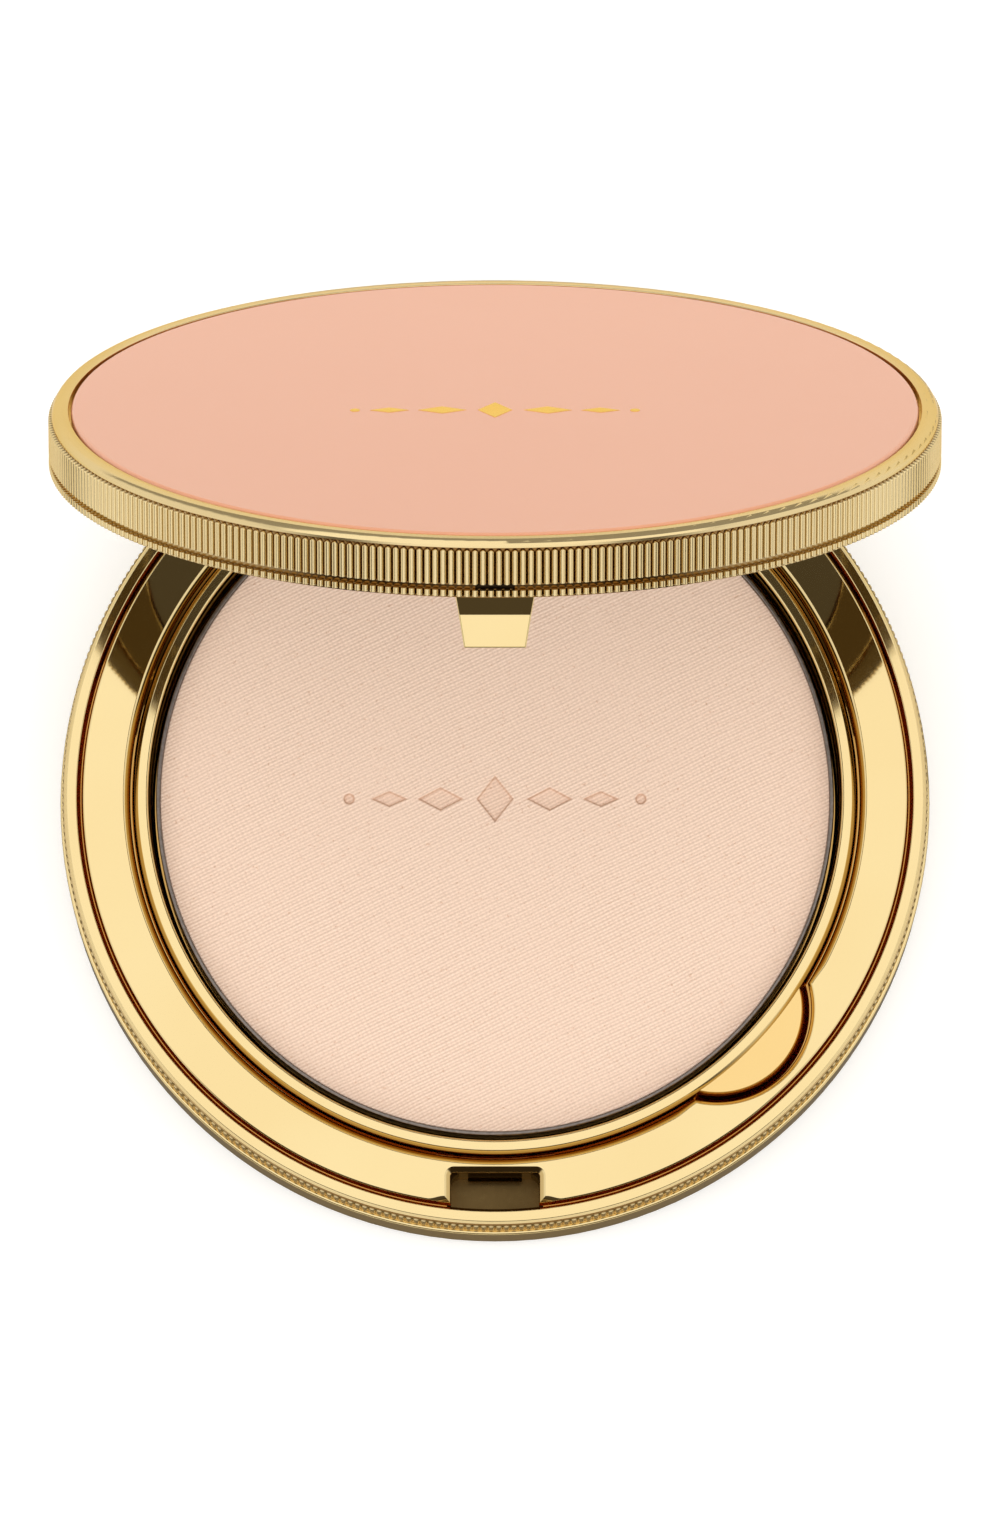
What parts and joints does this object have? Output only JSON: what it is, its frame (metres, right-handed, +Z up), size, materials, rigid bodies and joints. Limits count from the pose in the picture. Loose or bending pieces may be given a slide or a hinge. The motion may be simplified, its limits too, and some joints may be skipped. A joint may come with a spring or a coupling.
{
  "type": "powder compact",
  "caption": "Round hinged face-powder compact with an enamelled lid, mirror, knurled gold rims, latch tongue, powder pan in a lift-up tray and a puff well below it.",
  "frame": {"origin": "centre of the round base, on the flat ring that it stands on", "axes": "+Z up out of the powder; the latch is at -Y and the hinge at +Y, its pin along X"},
  "size_m": [0.0782, 0.0859, 0.082],
  "materials": {
    "base_shell": "gold-plated, polished",
    "base_rim": "gold-plated, polished",
    "base_knurled_hoop": "gold-plated, fine vertical ribs",
    "base_frame": "gold-plated, mirror polished",
    "bottom_label": "plain coated paper, no print",
    "hinge_pin": "drawn wire",
    "latch_spring": "spring strip",
    "puff": "soft velour over foam",
    "puff_ribbon": "satin ribbon",
    "powder_tray": "gold-plated, polished",
    "pan_adhesive": "double-sided tape",
    "powder_pan": "pressed tin-grey pan",
    "powder_cake": "pressed powder with a fine woven texture",
    "lid_shell": "gold-plated, polished",
    "lid_knurled_hoop": "gold-plated, fine vertical ribs",
    "enamel_adhesive": "adhesive film",
    "enamel_disc": "peach-pink gloss enamel",
    "lid_emblem": "thin gold foil let into the enamel",
    "lid_inner_frame": "gold-plated, polished",
    "latch_tongue": "gold-plated, polished",
    "mirror_tape": "double-sided tape",
    "mirror": "silvered flat glass"
  },
  "bodies": {
    "base": {"base_shell": "base_shell", "base_rim": "base_rim", "base_knurled_hoop": "base_knurled_hoop", "base_frame": "base_frame", "bottom_label": "bottom_label", "hinge_pin": "hinge_pin", "latch_spring": "latch_spring", "puff": "puff", "puff_ribbon": "puff_ribbon", "powder_tray": "powder_tray", "pan_adhesive": "pan_adhesive", "powder_pan": "powder_pan", "powder_cake": "powder_cake"},
    "lid": {"lid_shell": "lid_shell", "lid_knurled_hoop": "lid_knurled_hoop", "enamel_adhesive": "enamel_adhesive", "enamel_disc": "enamel_disc", "lid_emblem": "lid_emblem", "lid_inner_frame": "lid_inner_frame", "latch_tongue": "latch_tongue", "mirror_tape": "mirror_tape", "mirror": "mirror"}
  },
  "joints": [
    {"name": "lid_hinge", "type": "hinge", "parent": "base", "child": "lid", "pos_m": [0, 0.0384, 0.009], "axis": [-1, 0, 0], "range_deg": [-63.3, 60]}
  ]
}
